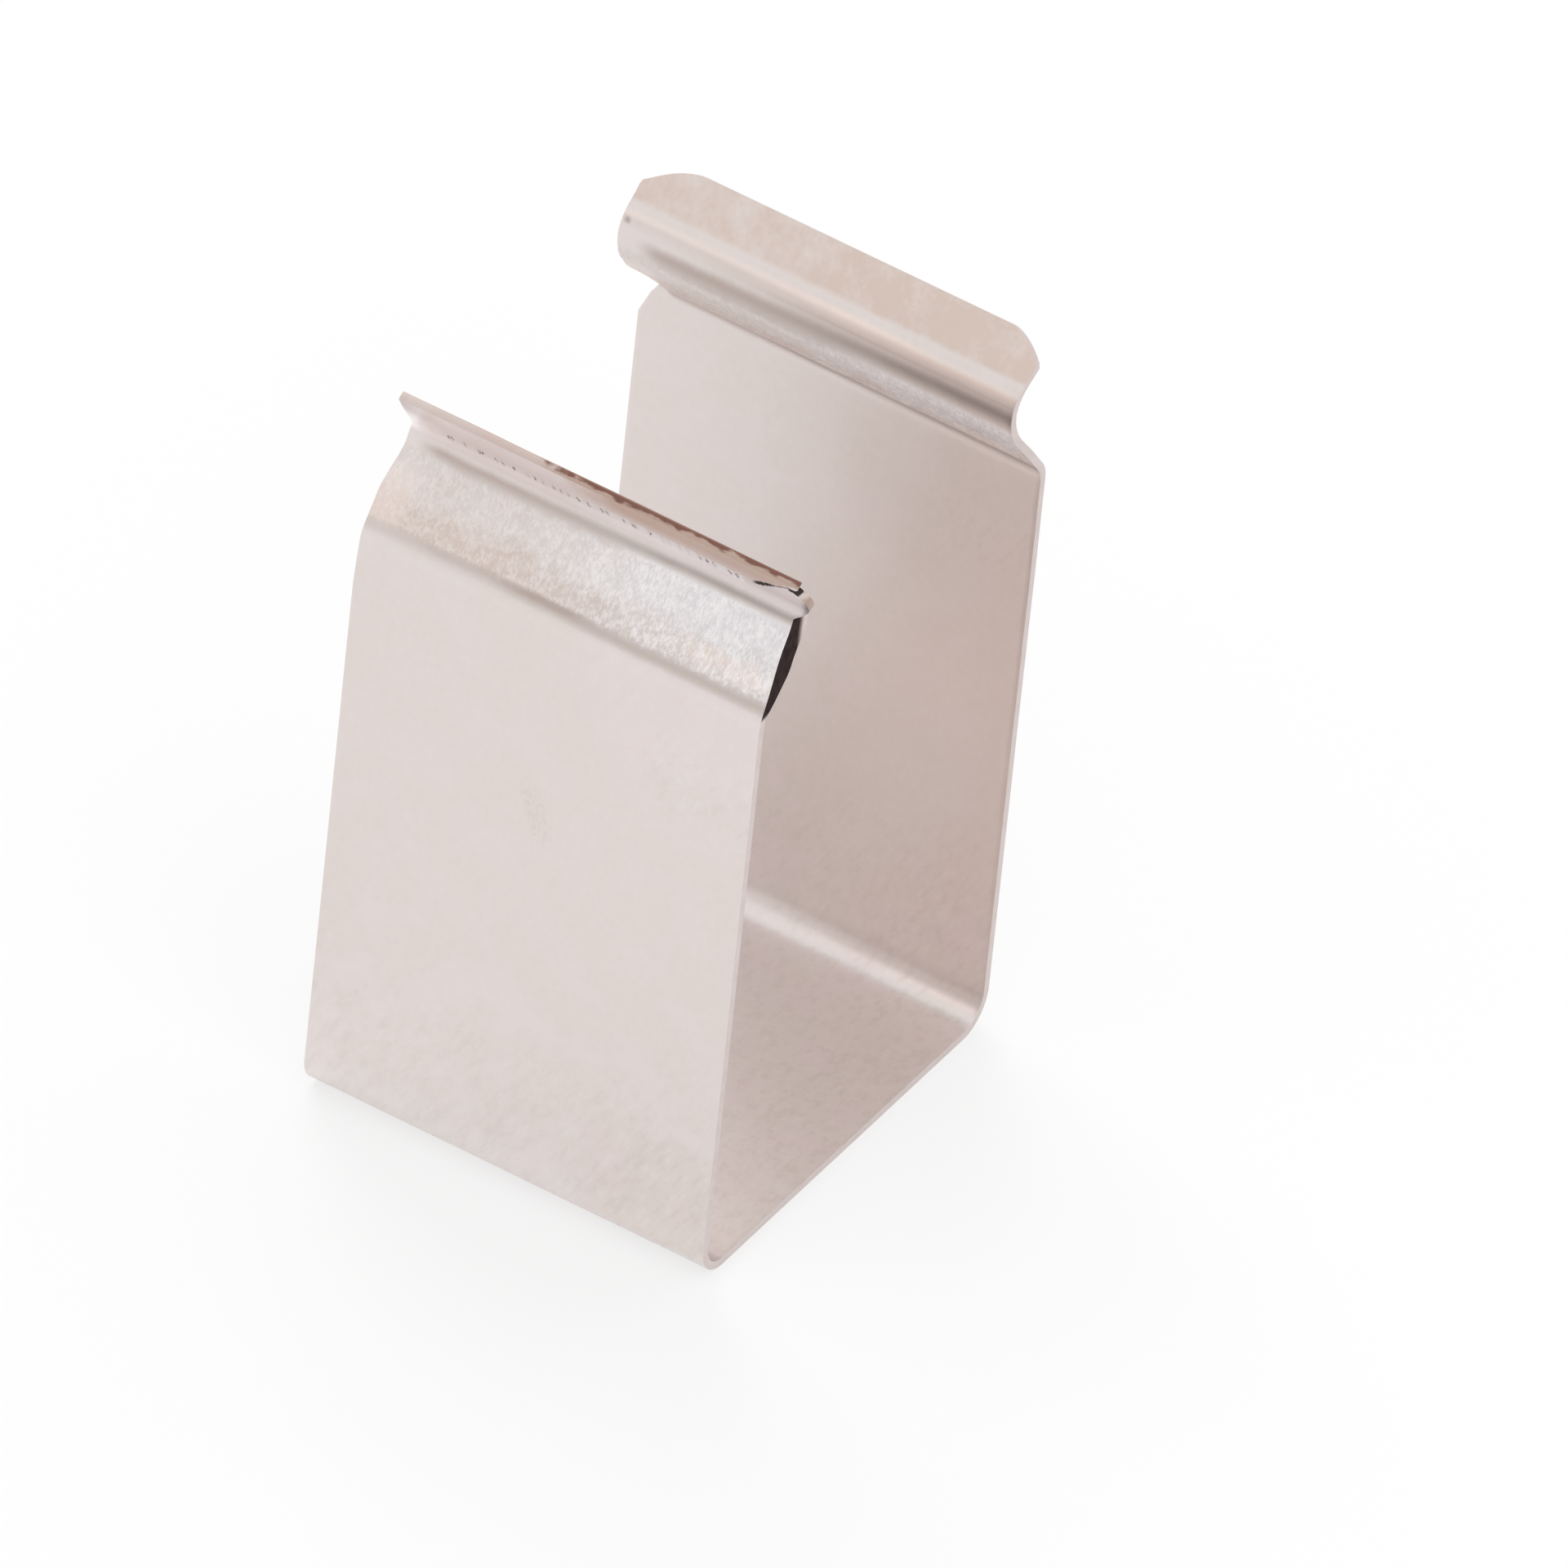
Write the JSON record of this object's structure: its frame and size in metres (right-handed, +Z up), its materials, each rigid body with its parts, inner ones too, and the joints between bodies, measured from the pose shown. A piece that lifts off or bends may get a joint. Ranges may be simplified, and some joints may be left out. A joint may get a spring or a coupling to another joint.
{
  "type": "battery holder",
  "caption": "U-shaped sheet-metal spring clip that grips a rectangular battery between its arms. Its lips flare out to guide the battery in, and its flat base takes a screw.",
  "frame": {"origin": "middle of the underside of the base", "axes": "+X along the battery and across the width of the strip, +Y from one arm to the other, +Z up out of the open side"},
  "size_m": [0.016, 0.0176, 0.03],
  "materials": {
    "nickel": "satin nickel plating"
  },
  "bodies": {
    "root": {"clip": "nickel"}
  },
  "joints": []
}
